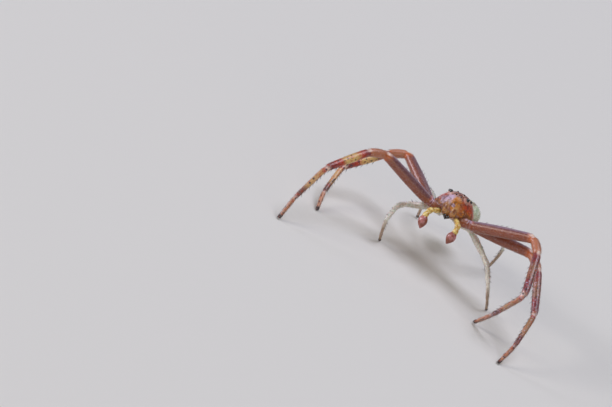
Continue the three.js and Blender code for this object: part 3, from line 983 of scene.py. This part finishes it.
def carapace_material():
    m = Shader("carapace_cuticle")
    fine = m.noise(8.0, 5.0)
    base = m.mix(m.mask(m.noise(4.0, 4.0), 0.4, 0.62), OCHRE, GOLD)
    base = carapace_bands(m, base)
    base = painted_lilac_reflection(m, base)
    base = face_marks(m, base)
    # Broken dark flecks over all of it, and pale ones on the face
    base = m.tint(base, UMBER_DARK, 0.75, m.mask(m.noise(5.0, 5.0, 0.65), 0.5, 0.6))
    face = m.mask(m.local("Y"), 0.0, -0.5)
    base = m.tint(base, PALE_JOINT, 0.3, m.mask(m.noise(9.0, 3.0), 0.58, 0.66), face)
    base = m.tint(base, EYE_RING, 0.6, m.attribute("ring"))
    finish_cuticle(m, base, fine, roughness=0.4, coat=0.25)
    return m.material


def plain_cuticle(name, first, second, scale=8.0, scatter=0.15, roughness=0.32):
    m = Shader(name)
    fine = m.noise(scale, 4.0)
    base = m.mix(m.mask(fine, 0.38, 0.64), first, second)
    finish_cuticle(m, base, fine, roughness, scatter)
    return m.material


def abdomen_material():
    m = Shader("abdomen_skin")
    wander = m.wander(4.0, 3.0, 0.3)
    base = m.mix(m.mask(m.noise(6.0, 5.0), 0.35, 0.7), *ABDOMEN_PALE)
    # A brown band down each side of the back, and browner flanks
    across = m.maths("ADD", m.maths("ABSOLUTE", m.local("X")), wander)
    band = m.times(m.mask(across, 0.2, 0.28), m.mask(across, 0.44, 0.36))
    base = m.tint(base, ABDOMEN_BAND, 0.7, band, m.mask(m.local("Y"), 1.5, 2.1))
    height = m.maths("ADD", m.local("Z"), wander)
    base = m.tint(base, ABDOMEN_SIDE, 0.85, m.mask(height, 0.12, -0.22))
    m.set(Base_Color=base, Roughness=0.5, Subsurface_Weight=0.2, Subsurface_Scale=0.0002)
    m.set(Normal=m.bump(m.noise(20.0, 3.0), 0.00002, 0.6))
    return m.material


def gloss_material(name, colour, roughness):
    m = Shader(name)
    m.set(Base_Color=colour, Roughness=roughness, Coat_Weight=1.0, Coat_Roughness=0.03)
    return m.material


def hair_material(name, colour):
    m = Shader(name)
    m.set(Base_Color=colour, Roughness=0.45)
    return m.material


def skin_materials():
    """One material for each part of the skin, in the parts' order."""
    palp = (srgb(186, 142, 56), srgb(234, 212, 132))
    bulb = (srgb(132, 66, 44), srgb(182, 118, 116))
    chelicera = (srgb(126, 64, 26), srgb(196, 142, 84))
    return [
        carapace_material(),
        plain_cuticle("underside_cuticle", srgb(150, 92, 48), srgb(190, 134, 76)),
        abdomen_material(),
        front_leg_material(),
        hind_leg_material(),
        plain_cuticle("palp_cuticle", *palp, 7.0, scatter=0.25),
        plain_cuticle("palp_bulb_cuticle", *bulb, 4.0, roughness=0.26),
        plain_cuticle("chelicera_cuticle", *chelicera, 6.0),
    ]


# Eyes


def make_eyes():
    dark = gloss_material("eye_lens", srgb(14, 8, 14), 0.08)
    red = gloss_material("small_eye_lens", srgb(70, 22, 14), 0.08)
    directions, faces = sphere_grid(*LENS_GRID)
    for eye, (_, tubercle, radius) in EYES.items():
        for side, letter in ((-1, "R"), (1, "L")):
            at, out = eye_seat(eye, side)
            centre = at + out * tubercle * LENS_RISE
            points = place(from_body(centre + directions * radius))
            piece = mesh_object(f"lens_{eye}_{letter}", points, faces)
            piece.data.materials.append(dark if eye.endswith("LE") else red)
            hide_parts(f"eye_{eye}_{letter}")
            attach(piece, "root")


# Spines, hairs, claws and fangs


class Bristles:
    """Tapered, slightly curved hairs in one mesh, each with its patch of the bake map."""

    def __init__(self, sides=3):
        self.sides = sides
        self.points, self.faces, self.patches = [], [], []

    def add(self, root, aim, droop, length, radius, patch):
        """A hair from root towards aim, whose tip bends by droop, a vector."""
        n = self.sides
        first = len(self.points) * (2 * n + 1)
        across = unit(np.cross(aim, droop + SKEW))
        over = np.cross(aim, across)
        turn = np.arange(n) * 2 * math.pi / n
        ring = np.cos(turn)[:, None] * across + np.sin(turn)[:, None] * over
        middle = root + aim * length * 0.5 + droop * length * MIDDLE_BEND
        tip = root + aim * length + droop * length
        strand = np.vstack([root + ring * radius, middle + ring * radius * MIDDLE_GIRTH, tip])
        strand[:, 2] = np.maximum(strand[:, 2], LOWEST_HAIR)
        self.points.append(strand)
        for k in range(n):
            a, b = first + k, first + (k + 1) % n
            self.faces.append([a, b, b + n, a + n])
            self.faces.append([a + n, b + n, first + 2 * n])
        self.faces.append([first + k for k in range(n)][::-1])
        self.patches.append(patch)

    def build(self, name, material, slot):
        made = mesh_object(name, place(np.vstack(self.points)), self.faces)
        made.data.materials.append(material)
        stride = 2 * self.sides + 1
        layer = made.data.uv_layers.new(name="OFBake")
        loops = np.empty(len(made.data.loops), int)
        made.data.loops.foreach_get("vertex_index", loops)
        turn = 2 * math.pi * (loops % stride) / stride
        around = np.column_stack([np.cos(turn), np.sin(turn)]) * PATCH / 2
        layer.data.foreach_set("uv", (np.array(self.patches)[loops // stride] + around).ravel())
        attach(made, "root")
        return made


def inset(share, edge):
    return edge + (1 - 2 * edge) * share


def on_leg(code, stage, turn):
    """A place on a leg: its point, outward and along directions, and bake map patch."""
    path = LEGS[code]
    s = path.place(stage)
    along, across, up = (v[0] for v in path.frames(np.array([s])))
    out = across * math.sin(turn) - up * math.cos(turn)
    radius = girth(code)(np.array([s]))[0]
    row = sorted(LEGS).index(code)
    around = inset(turn / (2 * math.pi) % 1, LEG_STRIP_MARGIN)
    patch = (inset(s / path.length, MARGIN), (row + around) * LEG_STRIP)
    return path.at(np.array([s]))[0] + out * radius * ROOTED_AT, out, along, patch


def on_body(surface, direction, row):
    """A place on the carapace or abdomen: its point, outward direction and patch."""
    point = surface(direction)[0]
    nudge = [surface(direction + step)[0] - point for step in np.eye(3) * SLOPE_STEP]
    normal = unit(sum(np.cross(nudge[a], nudge[(a + 1) % 3]) for a in range(3)))
    if normal @ direction < 0:
        normal = -normal
    turn = math.atan2(direction[1], direction[0]) / (2 * math.pi) % 1
    height = BODY_STRIP_FILL * (0.5 + 0.5 * direction[2])
    patch = (inset(turn, MARGIN), BODY_STRIP_AT + BODY_STRIP * row + height)
    return from_body(point), normal @ BODY_AXES, patch


def leaning(out, along, degrees):
    tilt = math.radians(degrees)
    return out * math.cos(tilt) + along * math.sin(tilt)


def make_spines():
    rng = np.random.default_rng(SEED)
    spines = Bristles(sides=5)
    for code in LEGS:
        rows = FRONT_SPINES if is_front(code) else HIND_SPINES
        for start, end, count, place_round, lean, length in rows:
            for stage in np.linspace(start, end, count):
                turn = math.radians(place_round + rng.normal(0, PLACE_SCATTER))
                root, out, along, patch = on_leg(code, stage, turn)
                aim = leaning(out, along, lean + rng.normal(0, LEAN_SCATTER))
                size = length * rng.uniform(*SPINE_SIZES)
                spines.add(root, aim, along * SPINE_BEND, size, SPINE_RADIUS, patch)
    spines.build("leg_spines", hair_material("spine", srgb(52, 30, 26)), "front_leg")


def make_leg_hairs():
    rng = np.random.default_rng(SEED + 1)
    dark, pale = Bristles(), Bristles()
    for code in LEGS:
        count, scale = (FRONT_HAIRS, 1.0) if is_front(code) else (HIND_HAIRS, HIND_HAIR_SCALE)
        for _ in range(count):
            stage = rng.uniform(*LEG_HAIR_STRETCH)
            root, out, along, patch = on_leg(code, stage, rng.uniform(0, 2 * math.pi))
            aim = leaning(out, along, rng.uniform(*LEG_HAIR_LEAN))
            size = rng.uniform(*LEG_HAIR_LENGTH) * scale
            fleece = dark if rng.random() < LEG_DARK_SHARE else pale
            fleece.add(root, aim, along * LEG_HAIR_BEND, size, LEG_HAIR_RADIUS, patch)
        for _ in range(TIP_HAIRS):
            stage = rng.uniform(*TIP_HAIR_STRETCH)
            root, out, along, patch = on_leg(code, stage, rng.uniform(0, 2 * math.pi))
            size = rng.uniform(*TIP_HAIR_LENGTH)
            aim = unit(out * 0.5 + along)
            dark.add(root, aim, along * TIP_HAIR_BEND, size, TIP_HAIR_RADIUS, patch)
    dark.build("leg_hairs_dark", hair_material("dark_hair", srgb(60, 40, 36)), "front_leg")
    pale.build("leg_hairs_pale", hair_material("pale_hair", srgb(220, 200, 190)), "front_leg")


def make_body_hairs():
    """Hairs that lie towards the rear, and on the face towards the front."""
    rng = np.random.default_rng(SEED + 2)
    dark, pale = Bristles(), Bristles()
    regions = ((carapace_surface, CARAPACE_HAIRS), (abdomen_surface, ABDOMEN_HAIRS))
    for row, (surface, count) in enumerate(regions):
        on_carapace = surface is carapace_surface
        for _ in range(count):
            direction = unit(rng.normal(0, 1, 3))
            if on_carapace and direction[2] < CARAPACE_HAIRS_ABOVE:
                continue
            root, out, patch = on_body(surface, direction, row)
            lie = unit(np.cross(np.cross(out, BODY_AXES[1]), out) + rng.normal(0, LIE_SCATTER, 3))
            if on_carapace and direction[1] < FACE_HAIRS_BEFORE:
                lie = -lie
            aim = unit(out + lie * BODY_HAIR_LIE)
            fleece = dark if rng.random() < BODY_DARK_SHARE else pale
            size = rng.uniform(*BODY_HAIR_LENGTH)
            root = root - out * BODY_HAIR_DEPTH
            fleece.add(root, aim, lie * BODY_HAIR_BEND, size, BODY_HAIR_RADIUS, patch)
    dark.build("body_hairs_dark", hair_material("body_dark_hair", srgb(66, 40, 30)), "carapace")
    pale.build("body_hairs_pale", hair_material("body_pale_hair", srgb(226, 210, 196)), "carapace")


def make_claws():
    claws = Bristles(sides=5)
    for code in LEGS:
        for turn in (-CLAW_TURN, CLAW_TURN):
            root, out, along, patch = on_leg(code, CLAW_STAGE, math.pi + turn)
            bend = -out * 0.5 + along * 0.1
            claws.add(root, unit(along + out * 0.5), bend, CLAW_LENGTH, CLAW_RADIUS, patch)
    claws.build("claws", gloss_material("claw", srgb(40, 26, 24), 0.25), "front_leg")


def make_fangs():
    fangs = Bristles(sides=8)
    for side in (-1, 1):
        mirror = np.array([side, 1, 1])
        root = from_body((np.array(CHELICERA[-1]) + FANG_OFFSET) * mirror)
        aim = unit((FANG_AIM * mirror) @ BODY_AXES)
        fangs.add(root, aim, FANG_BEND @ BODY_AXES, FANG_LENGTH, FANG_RADIUS, FANG_PATCH)
    fangs.build("fangs", gloss_material("fang", srgb(30, 14, 18), 0.15), "carapace")


# Stage


def face_point():
    return from_body([0, -FACE_FORWARD, 0])


def make_camera():
    """A long lens at the photo's angle that sets the face at its pixel, at the photo's scale."""
    a, e, roll = CAMERA_AZIMUTH, CAMERA_ELEVATION, CAMERA_ROLL
    back = np.array([math.sin(a) * math.cos(e), -math.cos(a) * math.cos(e), math.sin(e)])
    level = np.array([math.cos(a), math.sin(a), 0.0])
    rise = np.cross(back, level)
    right = math.cos(roll) * level + math.sin(roll) * rise
    up = math.cos(roll) * rise - math.sin(roll) * level
    shift_right = (PHOTO_SIZE[0] / 2 - FACE_PIXEL[0]) / PIXELS_PER_MM
    shift_up = (FACE_PIXEL[1] - PHOTO_SIZE[1] / 2) / PIXELS_PER_MM
    target = face_point() + right * shift_right + up * shift_up
    data = bpy.data.cameras.new("camera")
    data.sensor_width = SENSOR
    data.lens = SENSOR * CAMERA_DISTANCE / (PHOTO_SIZE[0] / PIXELS_PER_MM)
    data.clip_start, data.clip_end = CLIP
    camera = bpy.data.objects.new("camera", data)
    bpy.context.scene.collection.objects.link(camera)
    position = place(target + back * CAMERA_DISTANCE)
    axes = Matrix((right, up, back)).transposed().to_4x4()
    camera.matrix_world = Matrix.Translation(Vector(position)) @ axes
    bpy.context.scene.camera = camera


def make_floor():
    square = ((-1, -1), (1, -1), (1, 1), (-1, 1))
    corners = [(x * FLOOR_HALF, y * FLOOR_HALF, 0) for x, y in square]
    floor = mesh_object("floor", corners, [[0, 1, 2, 3]])
    m = Shader("floor_card")
    m.set(Base_Color=FLOOR_COLOUR, Roughness=0.9)
    floor.data.materials.append(m.material)


def area_light(name, at, size, power_w, colour):
    data = bpy.data.lights.new(name, "AREA")
    data.shape = "DISK"
    data.size = size
    data.energy = power_w
    data.color = colour
    lamp = bpy.data.objects.new(name, data)
    bpy.context.scene.collection.objects.link(lamp)
    centre = Vector(place(LIT_POINT))
    lamp.location = centre + Vector(at)
    lamp.rotation_mode = "QUATERNION"
    lamp.rotation_quaternion = (-Vector(at)).to_track_quat("-Z", "Y")


def make_lights():
    for light in LIGHTS:
        area_light(*light)
    world = bpy.data.worlds.new("studio")
    world.use_nodes = True
    background = world.node_tree.nodes["Background"]
    background.inputs["Color"].default_value = WORLD_COLOUR
    background.inputs["Strength"].default_value = WORLD_STRENGTH
    bpy.context.scene.world = world
    bpy.context.scene.view_settings.view_transform = "Standard"


def main():
    make_camera()
    make_floor()
    make_lights()
    skin = make_skin()
    for material in skin_materials():
        skin.data.materials.append(material)
    flesh = [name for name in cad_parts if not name.startswith("eye_")]
    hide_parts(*flesh)
    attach(skin, "root")
    make_eyes()
    make_spines()
    make_leg_hairs()
    make_body_hairs()
    make_claws()
    make_fangs()


main()
